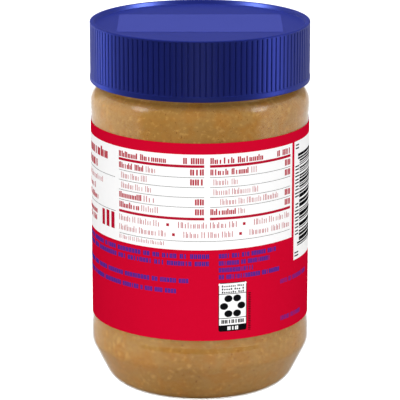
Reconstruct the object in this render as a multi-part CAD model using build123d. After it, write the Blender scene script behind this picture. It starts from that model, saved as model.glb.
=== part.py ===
from build123d import *
from math import asin, cos, degrees, radians, sin, tan
import os

# A one-pound food jar: a clear blown jar, its filling, a wrap-round film label and a ribbed screw cap.
# Millimetres, +Z up. The origin is the middle of the ring that the jar stands on.

# ------------------------------------------------------------------------------ driving dimensions
# Jar body
PANEL_RADIUS = 37.35  # recessed band that the label is wrapped round
WALL = 0.8  # blown wall, the same all over
LABEL_MARGIN = 2.7  # bare panel left above and below the label
STEP_HEIGHT = 2.2  # slope from the panel out to the bead below it and the shoulder above it
STEP_BLEND = 8.0  # rounding at both ends of that slope

# Foot of the jar
PUSH_UP = 3.0  # how far the middle of the base domes up inside
FOOT_WIDTH = 2.4  # flat ring that touches the table
HEEL_BLEND = 7.5  # rounding from the flat ring into the cone
CONE_LEAN = 26.7  # degrees between the cone and the vertical
CONE_HEIGHT = 14.4  # from the table to where the cone meets the bead
BEAD_BLEND = 6.0  # rounding between cone and bead
BEAD_RISE = 0.31  # how far the bead stands out from the panel
BEAD_HEIGHT = 5.2  # straight part of the bead

# Shoulder and neck
SHOULDER_RISE = 0.25  # how far the shoulder stands out from the panel
SHOULDER_BAND = 1.4  # straight part of the shoulder
SHOULDER_LEAN = 62.0  # steepest slope of the shoulder's curve, degrees from the vertical
NECK_INSET = 4.0  # how far the neck's wall stands inside the shoulder
NECK_BLEND = 1.0  # rounding where the shoulder meets the neck
NECK_HEIGHT = 18.35  # from that rounding up to the rim of the mouth

# Screw thread, one start
THREAD_PITCH = 4.23
THREAD_DEPTH = 1.1
THREAD_ROOT = 1.7  # width of a ridge where it leaves the wall
THREAD_CREST = 0.8  # width of a ridge at its top
THREAD_TURNS = 1.25
THREAD_LAND = 5.2  # plain neck between the rim and the thread
THREAD_CLEARANCE = 0.35  # between one part's ridge and the other part's wall
THREAD_SINK = 0.3  # how deep a ridge is rooted in its own wall

# Cap
CAP_WALL = 2.42  # skirt, from the bore out to the crests of the ribs
CAP_LIFT = 1.05  # gap between the end of the neck's rounding and the skirt
PANEL_THICKNESS = 1.4  # top panel
PANEL_RECESS = 1.5  # how far the panel lies below the rim
RIM_WIDTH = 1.25  # top of the rim, from the rib crests to its inner edge
RIM_SLOPE = 0.9  # how far the rim's inner side leans in on its way down
RIM_OUTER_BLEND = 0.8
RIM_INNER_BLEND = 0.5
PANEL_BLEND = 0.8  # rounding between the rim's inner side and the panel
BAND_HEIGHT = 1.9  # plain band below the ribs
BAND_RISE = 0.13  # how far the band stands out from the rib crests
BAND_BLEND = 0.5
LEAD_IN = 0.8  # bevel at the mouth of the bore
RIB_COUNT = 120
GROOVE_WIDTH = 0.6
GROOVE_DEPTH = 0.3
GROOVE_TOP_LAND = 0.7  # smooth wall left between the rim and the grooves

# Label and filling
LABEL_HEIGHT = 68.2
FILM = 0.12
GLUE = 0.03  # between the panel and the film
HEADSPACE = 12.0  # from the rim down to the top of the filling
FILL_CLEARANCE = 0.05  # between the wall and the filling

# ------------------------------------------------------------------------------ levels and radii
bead_radius = PANEL_RADIUS + BEAD_RISE
shoulder_radius = PANEL_RADIUS + SHOULDER_RISE
neck_radius = shoulder_radius - NECK_INSET

heel_turn = 90 - CONE_LEAN
heel_corner = bead_radius - CONE_HEIGHT * tan(radians(CONE_LEAN))
foot_outer = heel_corner - HEEL_BLEND * tan(radians(heel_turn / 2))
foot_inner = foot_outer - FOOT_WIDTH

bead_top = CONE_HEIGHT + BEAD_HEIGHT
panel_bottom = bead_top + STEP_HEIGHT
label_bottom = panel_bottom + LABEL_MARGIN
panel_top = label_bottom + LABEL_HEIGHT + LABEL_MARGIN
shoulder_bottom = panel_top + STEP_HEIGHT
curve_bottom = shoulder_bottom + SHOULDER_BAND
# The shoulder's arc and the neck's blend turn by the same angle and share the inset between them.
shoulder_blend = NECK_INSET / (1 - cos(radians(SHOULDER_LEAN))) - NECK_BLEND
neck_bottom = curve_bottom + (shoulder_blend + NECK_BLEND) * sin(radians(SHOULDER_LEAN))
mouth = neck_bottom + NECK_HEIGHT

bore_radius = neck_radius + THREAD_DEPTH + THREAD_CLEARANCE
rib_radius = bore_radius + CAP_WALL
skirt_bottom = neck_bottom + CAP_LIFT
ribs_bottom = skirt_bottom + BAND_HEIGHT
cap_panel = mouth + PANEL_THICKNESS
cap_top = cap_panel + PANEL_RECESS
rim_inner = rib_radius - RIM_WIDTH


def turn(face):
    """The solid that a half section, drawn as radius and height, makes round the Z axis."""
    return revolve(Plane.XZ * face, Axis.Z)


def jar_section(top):
    """Half section of the jar's outside, from its axis, with the neck ending at the height top."""
    dome_radius = (foot_inner**2 + PUSH_UP**2) / (2 * PUSH_UP)
    dome = JernArc((0, PUSH_UP), (1, 0), dome_radius, -degrees(asin(foot_inner / dome_radius)))
    side = FilletPolyline(
        (foot_inner, 0),
        (heel_corner, 0),
        (bead_radius, CONE_HEIGHT),
        (bead_radius, bead_top),
        (PANEL_RADIUS, panel_bottom),
        (PANEL_RADIUS, panel_top),
        (shoulder_radius, shoulder_bottom),
        (shoulder_radius, curve_bottom),
        radius=(HEEL_BLEND, BEAD_BLEND, STEP_BLEND, STEP_BLEND, STEP_BLEND, STEP_BLEND),
    )
    shoulder = JernArc((shoulder_radius, curve_bottom), (0, 1), shoulder_blend, SHOULDER_LEAN)
    blend = JernArc(shoulder @ 1, shoulder % 1, NECK_BLEND, -SHOULDER_LEAN)
    closing = Polyline(blend @ 1, (neck_radius, top), (0, top), (0, PUSH_UP))
    return make_face([*dome.edges(), *side.edges(), *shoulder.edges(), *blend.edges(), *closing.edges()])


def inset(face, amount):
    """The half section moved in by amount on every side but the axis."""
    whole = offset(face + mirror(face, Plane.YZ), -amount)
    height = whole.bounding_box().max.Y
    right_half = Rectangle(2 * bead_radius, 2 * height, align=(Align.MIN, Align.CENTER))
    return whole & right_half


def thread_ridge(wall_radius, outward, bottom):
    """One helical ridge on a wall; outward is +1 on the outside of a neck and -1 inside a bore."""
    path = Pos(0, 0, bottom) * Helix(THREAD_PITCH, THREAD_PITCH * THREAD_TURNS, wall_radius)
    ridge = make_face(
        Polyline(
            (-outward * THREAD_SINK, -THREAD_ROOT / 2),
            (outward * THREAD_DEPTH, -THREAD_CREST / 2),
            (outward * THREAD_DEPTH, THREAD_CREST / 2),
            (-outward * THREAD_SINK, THREAD_ROOT / 2),
            close=True,
        )
    )
    across = Plane(origin=path @ 0, x_dir=(1, 0, 0), z_dir=path % 0)
    return sweep(across * ridge, path=path, is_frenet=True)


def make_jar():
    """The clear jar, open at the mouth, with its thread."""
    past_mouth = mouth + 2 * WALL
    cavity = turn(inset(jar_section(past_mouth), WALL))
    ridge = thread_ridge(neck_radius, 1, mouth - THREAD_LAND - THREAD_PITCH * THREAD_TURNS)
    return turn(jar_section(mouth)) + ridge - cavity


def make_filling():
    """What the jar holds, a little clear of the wall all round."""
    gap = WALL + FILL_CLEARANCE
    return turn(inset(jar_section(mouth - HEADSPACE + gap), gap))


def make_label():
    """The printed film, one closed sleeve on the panel."""
    inner = PANEL_RADIUS + GLUE
    sleeve = Pos(inner, label_bottom) * Rectangle(FILM, LABEL_HEIGHT, align=(Align.MIN, Align.MIN))
    return turn(sleeve)


def cap_section():
    """Half section of the cap before its grooves are cut."""
    outside = FilletPolyline(
        (bore_radius + LEAD_IN, skirt_bottom),
        (rib_radius + BAND_RISE, skirt_bottom),
        (rib_radius + BAND_RISE, ribs_bottom),
        (rib_radius, ribs_bottom),
        (rib_radius, cap_top),
        (rim_inner, cap_top),
        (rim_inner - RIM_SLOPE, cap_panel),
        (0, cap_panel),
        radius=(BAND_BLEND, 0, 0, RIM_OUTER_BLEND, RIM_INNER_BLEND, PANEL_BLEND),
    )
    inside = Polyline(
        (0, cap_panel),
        (0, mouth),
        (bore_radius, mouth),
        (bore_radius, skirt_bottom + LEAD_IN),
        (bore_radius + LEAD_IN, skirt_bottom),
    )
    return make_face([*outside.edges(), *inside.edges()])


def groove_cutter():
    """What one groove takes out of the skirt at +X: flat bottomed, with sloping ends."""
    proud = rib_radius + GROOVE_DEPTH
    bottom = rib_radius - GROOVE_DEPTH
    top = cap_top - RIM_OUTER_BLEND - GROOVE_TOP_LAND
    run = 2 * GROOVE_DEPTH
    side = make_face(
        Polyline(
            (proud, ribs_bottom),
            (bottom, ribs_bottom + run),
            (bottom, top - run),
            (proud, top),
            close=True,
        )
    )
    return extrude(Plane.XZ * side, GROOVE_WIDTH / 2, both=True)


def make_cap():
    """The screw cap, seated on the rim of the mouth."""
    # The cap's ridge hangs half a pitch below the neck's, so that the two lie between each other.
    ridge_bottom = mouth - THREAD_LAND - THREAD_PITCH * (THREAD_TURNS + 0.5)
    grooves = PolarLocations(0, RIB_COUNT) * groove_cutter()
    return turn(cap_section()) + thread_ridge(bore_radius, -1, ridge_bottom) - grooves


os.makedirs("parts", exist_ok=True)
for node, solid in (
    ("jar", make_jar()),
    ("peanut_butter", make_filling()),
    ("label", make_label()),
    ("cap", make_cap()),
):
    export_step(solid, f"parts/{node}.step")
    size = solid.bounding_box().size
    print(f"{node}: {size.X:.2f} x {size.Y:.2f} x {size.Z:.2f} mm, {solid.volume / 1000:.1f} cm3")
print(f"foot ring {foot_inner:.2f} to {foot_outer:.2f}, neck {neck_bottom:.2f} to mouth {mouth:.2f}")
print(f"cap {skirt_bottom:.2f} to {cap_top:.2f}, bore radius {bore_radius:.2f}, ribs at {rib_radius:.2f}")
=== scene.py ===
# %% [markdown]
# # A jar of peanut butter
# The jar is a clear blown bottle with a wide neck. It holds a thick nut paste, wears a printed film
# label, and is shut by a ribbed screw cap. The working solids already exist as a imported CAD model.
# This notebook loads that model as a fixed frame and builds the looks around it: smooth meshes,
# materials, light and a camera. The main levels and radii are read from the frame, so the looks stay
# on the working solids.

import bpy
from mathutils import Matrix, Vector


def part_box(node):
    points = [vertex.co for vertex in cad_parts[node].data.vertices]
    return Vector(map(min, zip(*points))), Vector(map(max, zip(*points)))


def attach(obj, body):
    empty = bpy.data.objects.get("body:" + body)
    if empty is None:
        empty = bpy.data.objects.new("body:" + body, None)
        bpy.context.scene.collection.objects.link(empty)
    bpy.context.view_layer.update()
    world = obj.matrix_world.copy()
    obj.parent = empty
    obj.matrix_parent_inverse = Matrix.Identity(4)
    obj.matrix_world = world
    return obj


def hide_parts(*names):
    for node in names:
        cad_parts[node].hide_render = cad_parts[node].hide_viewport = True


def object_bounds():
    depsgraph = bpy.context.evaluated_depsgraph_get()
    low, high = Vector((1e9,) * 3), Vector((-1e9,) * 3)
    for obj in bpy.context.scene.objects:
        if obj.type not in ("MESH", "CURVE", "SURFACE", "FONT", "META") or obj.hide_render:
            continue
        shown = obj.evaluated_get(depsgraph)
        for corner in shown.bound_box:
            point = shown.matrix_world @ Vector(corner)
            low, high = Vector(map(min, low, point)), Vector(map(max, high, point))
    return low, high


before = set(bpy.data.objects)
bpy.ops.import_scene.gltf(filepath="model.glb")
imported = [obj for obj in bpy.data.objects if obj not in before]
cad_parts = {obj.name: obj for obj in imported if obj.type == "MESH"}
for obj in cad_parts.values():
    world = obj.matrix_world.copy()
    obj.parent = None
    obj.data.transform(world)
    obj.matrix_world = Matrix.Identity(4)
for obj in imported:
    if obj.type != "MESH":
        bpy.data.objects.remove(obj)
cad_low, cad_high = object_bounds()
print("solids in the frame:", sorted(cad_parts))

# %% [markdown]
# Blender works in metres, while jars, labels and threads are drawn in millimetres. One constant
# turns one into the other, and the box of each solid gives the levels that the meshes keep to.

# %% Units and levels
import math
import random

import bpy
import numpy as np
from mathutils import Euler, Matrix, Vector

MM = 0.001

jar_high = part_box("jar")[1] / MM
fill_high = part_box("peanut_butter")[1] / MM
label_low, label_high = (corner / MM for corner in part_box("label"))
cap_low, cap_high = (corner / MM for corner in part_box("cap"))
BEAD_RADIUS = jar_high.x
LABEL_RADIUS = label_high.x
BAND_RADIUS = cap_high.x
MOUTH = jar_high.z
print(f"jar {MOUTH:.1f} mm to the mouth, label {label_low.z:.1f} to {label_high.z:.1f} mm up")

# %% [markdown]
# ## Small tools
# Three helpers do most of the work. One turns a web colour into the linear numbers that light is
# computed with. One adds a node to any node tree, sets it up and links it, which keeps the long
# lists of nodes readable. One makes a mesh object out of points and faces.

# %% Colour, nodes and pieces


def colour(code):
    """An sRGB hex colour as the linear RGBA that shaders take."""
    channels = [int(code[i : i + 2], 16) / 255 for i in (1, 3, 5)]
    linear = [c / 12.92 if c <= 0.04045 else ((c + 0.055) / 1.055) ** 2.4 for c in channels]
    return (*linear, 1.0)


def add(tree, kind, inputs=None, **settings):
    """A new node with its settings, and its inputs filled with values or linked to other outputs."""
    made = tree.nodes.new(kind)
    for name, value in settings.items():
        setattr(made, name, value)
    for key, value in (inputs or {}).items():
        if isinstance(value, bpy.types.NodeSocket):
            tree.links.new(value, made.inputs[key])
        else:
            made.inputs[key].default_value = value
    return made


def piece(name, points, faces, material, crease=30):
    """A mesh object at the origin. Faces shade smooth, with an edge where they turn by more than crease."""
    mesh = bpy.data.meshes.new(name)
    mesh.from_pydata([tuple(c * MM for c in p) for p in points], [], faces)
    mesh.materials.append(material)
    mesh.shade_smooth()
    mesh.set_sharp_from_angle(angle=math.radians(crease))
    made = bpy.data.objects.new(name, mesh)
    bpy.context.scene.collection.objects.link(made)
    return made


# %% [markdown]
# ## Camera
# The jar is seen a little from above, through a long lens that keeps its sides nearly parallel. The
# camera aims at the middle of the object, so the angle and the distance say all there is to say.

# %% Camera
CAMERA_ELEVATION = math.radians(15.07)
CAMERA_DISTANCE = 872.2
LENS, SENSOR = 226.9, 36

centre = (cad_low + cad_high) / 2
camera = bpy.data.objects.new("camera", bpy.data.cameras.new("camera"))
bpy.context.scene.collection.objects.link(camera)
bpy.context.scene.camera = camera
camera.data.lens = LENS
camera.data.sensor_width = SENSOR
camera.rotation_euler = (math.pi / 2 - CAMERA_ELEVATION, 0, 0)
camera.location = (
    0,
    -CAMERA_DISTANCE * MM * math.cos(CAMERA_ELEVATION),
    centre.z + CAMERA_DISTANCE * MM * math.sin(CAMERA_ELEVATION),
)
print("camera at", [round(c, 3) for c in camera.location])

# %% [markdown]
# ## Floor and light
# A jar on white is lit from large white panels at its sides, with the dark room behind the camera
# left dark. That darkness is what keeps the middle of the cap deep blue and the food behind the wall
# golden, and the panels are what the clear wall mirrors towards its edges. The sky here is drawn
# to be those panels. The floor is one very large pale plane. What glows back onto the jar from below
# is a duller card of its own, so that a bright floor can't wash out the lower half of the jar.

# %% Floor
FLOOR_SIZE, FLOOR_DROP = 40000.0, 0.05
CARD_RADIUS, CARD_DROP = 190.0, 0.03
CLOUDS_PER_METRE = 3.0


def matt_paint(name, base, other):
    """Matt paint that drifts between two shades."""
    made = bpy.data.materials.new(name)
    made.use_nodes = True
    tree = made.node_tree
    place = add(tree, "ShaderNodeTexCoord").outputs["Object"]
    cloud = add(tree, "ShaderNodeTexNoise", {"Vector": place, "Scale": CLOUDS_PER_METRE}).outputs["Fac"]
    shade = add(tree, "ShaderNodeMix", {0: cloud, 6: colour(base), 7: colour(other)}, data_type="RGBA")
    shader = tree.nodes["Principled BSDF"]
    tree.links.new(shade.outputs[2], shader.inputs["Base Color"])
    shader.inputs["Roughness"].default_value = 0.9
    shader.inputs["Specular IOR Level"].default_value = 0.0
    return made


def ground(name, radius, drop, corners, paint):
    """A flat round of painted ground below the object."""
    turns = [2 * math.pi * (k + 0.5) / corners for k in range(corners)]
    points = [(radius * math.cos(a), radius * math.sin(a), -drop) for a in turns]
    made = piece(name, points, [tuple(range(corners))], paint)
    return made


white_paint = matt_paint("matt_white_paint", "#f6f6f5", "#f9f9f8")
floor = ground("floor", FLOOR_SIZE / 2, FLOOR_DROP, 4, white_paint)
floor.visible_diffuse = floor.visible_glossy = floor.visible_shadow = False
grey_paint = matt_paint("matt_pale_grey_card", "#e6e6e6", "#e9e9e9")
card = ground("floor_card", CARD_RADIUS, CARD_DROP, 64, grey_paint)
card.visible_camera = card.visible_shadow = False
print(f"floor {FLOOR_SIZE / 1000:.0f} m wide, card {2 * CARD_RADIUS:.0f} mm wide")

# %% [markdown]
# The sky has four parts, told apart by direction: white panels all round, the dark room behind the
# camera, a grey flag straight behind the jar that keeps a white sheen off the cap's top, and plain
# white for what the camera sees directly. Light Path tells that last one from the rest.

# %% Sky
PANEL_LIGHT, ROOM_LIGHT, FLAG_LIGHT = 0.92, 0.10, 0.22
ROOM_EDGE, ROOM_SOFTNESS = -0.42, 0.08
FLAG_EDGE, FLAG_SOFTNESS, FLAG_FOOT = 0.77, 0.06, 0.08

world = bpy.data.worlds.new("white_panels")
bpy.context.scene.world = world
world.use_nodes = True
tree = world.node_tree
direction = add(tree, "ShaderNodeTexCoord").outputs["Generated"]
heading = add(tree, "ShaderNodeSeparateXYZ", {0: direction}).outputs
level = add(tree, "ShaderNodeCombineXYZ", {0: heading["X"], 1: heading["Y"]}).outputs[0]
compass = add(tree, "ShaderNodeVectorMath", {0: level}, operation="NORMALIZE").outputs[0]
away = add(tree, "ShaderNodeSeparateXYZ", {0: compass}).outputs["Y"]
room_edge = {0: away, 1: ROOM_EDGE + ROOM_SOFTNESS, 2: ROOM_EDGE - ROOM_SOFTNESS}
room = add(tree, "ShaderNodeMapRange", room_edge).outputs[0]
flag_edge = {0: away, 1: FLAG_EDGE - FLAG_SOFTNESS, 2: FLAG_EDGE + FLAG_SOFTNESS}
behind = add(tree, "ShaderNodeMapRange", flag_edge).outputs[0]
raised = add(tree, "ShaderNodeMapRange", {0: heading["Z"], 1: 0.0, 2: FLAG_FOOT}).outputs[0]
flag = add(tree, "ShaderNodeMath", {0: behind, 1: raised}, operation="MULTIPLY").outputs[0]
open_side = add(tree, "ShaderNodeMapRange", {0: room, 3: PANEL_LIGHT, 4: ROOM_LIGHT}).outputs[0]
strength = add(tree, "ShaderNodeMix", {0: flag, 2: open_side, 3: FLAG_LIGHT}).outputs[0]
panels = tree.nodes["Background"]
panels.inputs["Color"].default_value = (1, 1, 1, 1)
tree.links.new(strength, panels.inputs["Strength"])
backdrop = add(tree, "ShaderNodeBackground", {"Color": (1, 1, 1, 1)})
seen = add(tree, "ShaderNodeLightPath").outputs["Is Camera Ray"]
sky = add(tree, "ShaderNodeMixShader", {0: seen, 1: panels.outputs[0], 2: backdrop.outputs[0]})
tree.links.new(sky.outputs[0], tree.nodes["World Output"].inputs["Surface"])
bpy.context.scene.view_settings.view_transform = "Standard"
print("sky: panels", PANEL_LIGHT, "room", ROOM_LIGHT, "flag", FLAG_LIGHT)

# %% [markdown]
# Lamps add what the panels don't. Light linking gives each lamp its own subjects, as a photographer
# does with masks and separate exposures. Three helpers come first: one aims a lamp, one makes a lamp
# for its subjects, and one works out the power of a flat lamp from how bright its face should be.

# %% Lamp helpers


def aim(lamp, azimuth, elevation, roll=0.0, target=centre):
    """Puts a lamp a metre from its target, at an azimuth, 0 at the camera and 90 to the right."""
    turn, lift = math.radians(azimuth), math.radians(elevation)
    facing = Euler((math.pi / 2 - lift, 0, turn)).to_matrix()
    lamp.rotation_euler = (facing @ Matrix.Rotation(math.radians(roll), 3, "Z")).to_euler()
    away = math.cos(lift)
    lamp.location = target + Vector((away * math.sin(turn), -away * math.cos(turn), math.sin(lift)))


def lamp(name, kind, strength, subjects=None, diffuse=True, glossy=False, **settings):
    """A lamp that lights only its subjects, where it has any, and never shows itself to the camera."""
    data = bpy.data.lights.new(name, kind)
    data.energy = strength
    for key, value in settings.items():
        setattr(data, key, value)
    made = bpy.data.objects.new(name, data)
    bpy.context.scene.collection.objects.link(made)
    made.visible_camera = False
    made.visible_diffuse = diffuse
    made.visible_glossy = glossy
    if subjects:
        made.light_linking.receiver_collection = subjects
    return made


def panel(name, subjects, width, height, radiance, **settings):
    """A flat lamp of a given radiance: the power of such a lamp is pi times its area times that."""
    watts = math.pi * width * height * radiance
    size = {"shape": "RECTANGLE", "size": width, "size_y": height}
    return lamp(name, "AREA", watts, subjects, glossy=True, **size, **settings)


cap_subjects, wall_subjects, food_subjects, print_subjects, floor_subjects = (
    bpy.data.collections.new(f"{name}_subjects") for name in ("cap", "wall", "food", "print", "floor")
)
floor_subjects.objects.link(floor)

# %% [markdown]
# These lamps are there to be mirrored. Two windows, high at the sides, show in the clear shoulder.
# Blue-gelled strips draw the bright bands on the ribs of the cap, so that its sheen stays blue. They
# hang low, so that the cap's flat top never mirrors them. Two narrow spots, such as lamps with a snoot
# throw, pick out the back of the rim.

# %% Mirrored lamps
WINDOW_WIDTH, WINDOW_HEIGHT, WINDOW_LIGHT = 0.58, 0.25, 3.0
WINDOW_AZIMUTH, WINDOW_ELEVATION, WINDOW_ROLL = 84.5, 47, 45
SNOOT_WATTS, SNOOT_CONE, SNOOT_SIZE, SNOOT_GEL = 900, math.radians(1.3), 0.01, (0.6, 0.75, 1)
SNOOT_AZIMUTH, SNOOT_ELEVATION = 75, 40
RIM_MIDDLE, RIM_TURN = 35.8, math.radians(34)

for name, side in (("left_window", -1), ("right_window", 1)):
    window = panel(name, wall_subjects, WINDOW_WIDTH, WINDOW_HEIGHT, WINDOW_LIGHT)
    # Only the floor may block a window, so the cap throws no shadow on the shoulder's highlight.
    window.light_linking.blocker_collection = floor_subjects
    aim(window, WINDOW_AZIMUTH * side, WINDOW_ELEVATION, WINDOW_ROLL * side)
cap_strips = (  # azimuth, elevation, width, height, radiance, gel
    ("left_strip", -118, -14, 0.2, 0.66, 28, (0.08, 0.16, 1)),
    ("right_strip", 82, -14, 0.2, 0.66, 92, (0.25, 0.34, 1)),
    ("front_strip", 0, -12, 0.3, 0.6, 16, (1, 0.84, 0.4)),
)
for name, azimuth, elevation, width, height, radiance, gel in cap_strips:
    strip = panel(name, cap_subjects, width, height, radiance, diffuse=False, color=gel)
    aim(strip, azimuth, elevation)
for name, side in (("left_snoot", -1), ("right_snoot", 1)):
    snoot = lamp(name, "SPOT", SNOOT_WATTS, cap_subjects, diffuse=False, glossy=True, color=SNOOT_GEL)
    snoot.data.spot_size, snoot.data.spot_blend = SNOOT_CONE, 1.0
    snoot.data.shadow_soft_size = SNOOT_SIZE
    across, back = -side * RIM_MIDDLE * math.sin(RIM_TURN), RIM_MIDDLE * math.cos(RIM_TURN)
    rim_spot = Vector((across * MM, back * MM, cap_high.z * MM))
    aim(snoot, SNOOT_AZIMUTH * side, SNOOT_ELEVATION, target=rim_spot)

# %% [markdown]
# Suns with a very wide disc act as broad, soft lamps. A frontal fill lights the label and the food,
# two side lamps brighten the food towards its edges, and a wash keeps the floor white. The side lamps
# and the wash are blocked by nothing but the floor, so they throw no shadow of the cap or the jar.

# %% Broad lamps
WASH_STRENGTH, WASH_WIDTH = 3.0, math.radians(30)

broad_lamps = (  # strength, width in degrees, azimuth, elevation, subjects, whether things block it
    ("cap_side", 1.66, 30, -140, 0, cap_subjects, True),
    ("cap_overhead", 0.85, 60, 0, 88, cap_subjects, True),
    ("food_left", 2.0, 60, -92, 10, food_subjects, False),
    ("food_right", 0.9, 60, 92, 10, food_subjects, False),
    ("front_fill", 2.65, 100, 0, 24, print_subjects, True),
    ("overhead", 0.9, 60, 0, 88, None, True),
)
for name, strength, width, azimuth, elevation, subjects, blocked in broad_lamps:
    broad = lamp(name, "SUN", strength, subjects, angle=math.radians(width))
    if not blocked:
        broad.light_linking.blocker_collection = floor_subjects
    aim(broad, azimuth, elevation)
# A sun shines straight down until it is turned, which is what the wash on the floor needs.
floor_wash = lamp("floor_wash", "SUN", WASH_STRENGTH, floor_subjects, angle=WASH_WIDTH)
floor_wash.light_linking.blocker_collection = floor_subjects

# %% [markdown]
# ## Materials
# Each material starts from what the real one is, then is tuned to the object.
#
# **Blown clear PET.** The bottle is polyester resin, stretched and blown against a mould. It is a
# hard, glossy, colourless skin with faint ripples. Tracing real refraction through a wall less than a
# millimetre thick would only add noise, so the wall lets light straight through and adds a mirror
# layer that grows towards the edges as Fresnel's law says. PET has an index of about 1.575. The
# Fresnel node turns opaque to light that leaves from inside at a slant, so the law is written here in
# Schlick's short form, a fifth power of the slant, which is the same from both sides.

# %% Blown clear PET
PET_INDEX = 1.575
RIPPLE, RIPPLE_DEPTH, RIPPLE_STRENGTH = 12.0, 0.4, 0.005

clear_pet = bpy.data.materials.new("blown_clear_pet")
clear_pet.use_nodes = True
tree = clear_pet.node_tree
tree.nodes.remove(tree.nodes["Principled BSDF"])
place = add(tree, "ShaderNodeTexCoord").outputs["Object"]
waves = {"Vector": place, "Scale": 1 / (RIPPLE * MM), "Detail": 1.0}
ripple = add(tree, "ShaderNodeTexNoise", waves).outputs["Fac"]
relief = {"Height": ripple, "Strength": RIPPLE_STRENGTH, "Distance": RIPPLE_DEPTH * MM}
bent = add(tree, "ShaderNodeBump", relief).outputs["Normal"]
through = add(tree, "ShaderNodeBsdfTransparent", {"Color": colour("#fefdfa")})
gloss = {"Color": (1, 1, 1, 1), "Roughness": 0.11, "Normal": bent}
mirror = add(tree, "ShaderNodeBsdfAnisotropic", gloss)
slant = add(tree, "ShaderNodeLayerWeight", {"Blend": 0.5, "Normal": bent}).outputs["Facing"]
glancing = add(tree, "ShaderNodeMath", {0: slant, 1: 5.0}, operation="POWER").outputs[0]
head_on = ((PET_INDEX - 1) / (PET_INDEX + 1)) ** 2
schlick = {0: glancing, 1: 1 - head_on, 2: head_on}
edge = add(tree, "ShaderNodeMath", schlick, operation="MULTIPLY_ADD").outputs[0]
wall = add(tree, "ShaderNodeMixShader", {0: edge, 1: through.outputs[0], 2: mirror.outputs[0]})
tree.links.new(wall.outputs[0], tree.nodes["Material Output"].inputs["Surface"])
print(f"the wall mirrors {head_on:.1%} of head-on light")

# %% [markdown]
# **Ground nut paste.** Peanut butter is roasted nuts milled with oil. Light sinks a few millimetres
# into it, so it looks soft, and it is never one colour: broad warm and pale clouds, a mottle a few
# millimetres wide, and specks of skin and nut under a millimetre. Behind the clear wall it has no
# gloss of its own, because it wets the plastic.

# %% Ground nut paste
CLOUD, MOTTLE, CRUMB, SPECK = 24.0, 6.0, 1.5, 0.9

nut_paste = bpy.data.materials.new("ground_nut_paste")
nut_paste.use_nodes = True
tree = nut_paste.node_tree
place = add(tree, "ShaderNodeTexCoord").outputs["Object"]


def noise_at(size, detail=2.0, distortion=0.0):
    """Noise whose blobs are about size millimetres across, on the tree being built."""
    inputs = {"Vector": place, "Scale": 1 / (size * MM), "Detail": detail, "Distortion": distortion}
    return add(tree, "ShaderNodeTexNoise", inputs).outputs["Fac"]


def tinted(under, code, source, start, full, most):
    """The colour under with another over it, where a noise runs from start to full."""
    share = add(tree, "ShaderNodeMapRange", {0: source, 1: start, 2: full, 4: most}).outputs[0]
    return add(tree, "ShaderNodeMix", {0: share, 6: under, 7: colour(code)}, data_type="RGBA").outputs[2]


shade = tinted(colour("#997136"), "#a37e47", noise_at(CLOUD), 0.40, 0.62, 1.0)
shade = tinted(shade, "#a36f2b", noise_at(MOTTLE, 3.0, 0.6), 0.44, 0.66, 0.7)
crumbs = noise_at(CRUMB)
shade = tinted(shade, "#c19653", crumbs, 0.56, 0.72, 0.55)
shade = tinted(shade, "#8c602a", crumbs, 0.42, 0.30, 0.4)
shade = tinted(shade, "#76461c", noise_at(SPECK, 1.0), 0.70, 0.76, 0.8)
shader = tree.nodes["Principled BSDF"]
tree.links.new(shade, shader.inputs["Base Color"])
shader.inputs["Roughness"].default_value = 0.6
shader.inputs["Specular IOR Level"].default_value = 0.1
shader.inputs["Subsurface Weight"].default_value = 0.25
shader.inputs["Subsurface Radius"].default_value = (3.0, 1.6, 0.8)
shader.inputs["Subsurface Scale"].default_value = MM
print("nut paste nodes:", len(tree.nodes))

# %% [markdown]
# **Printed film and inks.** The label is polypropylene film, stretched both ways until it is stiff and
# smooth, then printed and varnished. Each ink is a thin solid layer, so its edges are real geometry
# and stay crisp. One function makes the film and all the inks, because they share the varnish: an even
# gloss over a colour that varies by a trace, as press ink does.

# %% Printed film and inks
INK_MOTTLE, POLISH_DRIFT = 1.5, 0.04


def varnished_ink(name, base, other, roughness=0.5):
    """A printed colour under varnish, drifting a little between two shades."""
    made = bpy.data.materials.new(name)
    made.use_nodes = True
    tree = made.node_tree
    place = add(tree, "ShaderNodeTexCoord").outputs["Object"]
    drift = add(tree, "ShaderNodeTexNoise", {"Vector": place, "Scale": 1 / (INK_MOTTLE * MM)}).outputs["Fac"]
    shade = add(tree, "ShaderNodeMix", {0: drift, 6: colour(base), 7: colour(other)}, data_type="RGBA")
    low, high = roughness - POLISH_DRIFT, roughness + POLISH_DRIFT
    polish = add(tree, "ShaderNodeMapRange", {0: drift, 3: low, 4: high}).outputs[0]
    shader = tree.nodes["Principled BSDF"]
    tree.links.new(shade.outputs[2], shader.inputs["Base Color"])
    tree.links.new(polish, shader.inputs["Roughness"])
    shader.inputs["Specular IOR Level"].default_value = 0.0
    return made


red_film = varnished_ink("printed_polypropylene_film_red", "#ca082b", "#ce092e")
white_ink = varnished_ink("press_ink_white", "#fafafa", "#fdfdfd")
crimson_ink = varnished_ink("press_ink_crimson", "#b0102c", "#b81432")
blue_ink = varnished_ink("press_ink_blue", "#2c2992", "#342f9a")
black_ink = varnished_ink("press_ink_black", "#0c0c0e", "#131316")
tan_ink = varnished_ink("press_ink_tan", "#c79a5a", "#cda163")
print("inks:", [ink.name for ink in (white_ink, crimson_ink, blue_ink, black_ink, tan_ink)])

# %% [markdown]
# **Injection-moulded polypropylene.** The cap is coloured polypropylene. Its skin is satin rather
# than glossy, with a faint grain from the tool steel. The panel on top has a field that the mould
# maker frosted by spark erosion, which scatters more light and so looks paler than the rest.

# %% Injection-moulded polypropylene
TOOL_GRAIN, TOOL_DEPTH = 0.6, 0.02
SPARK_GRAIN, SPARK_DEPTH = 0.35, 0.05
FLOW_CLOUD = 25.0


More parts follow.
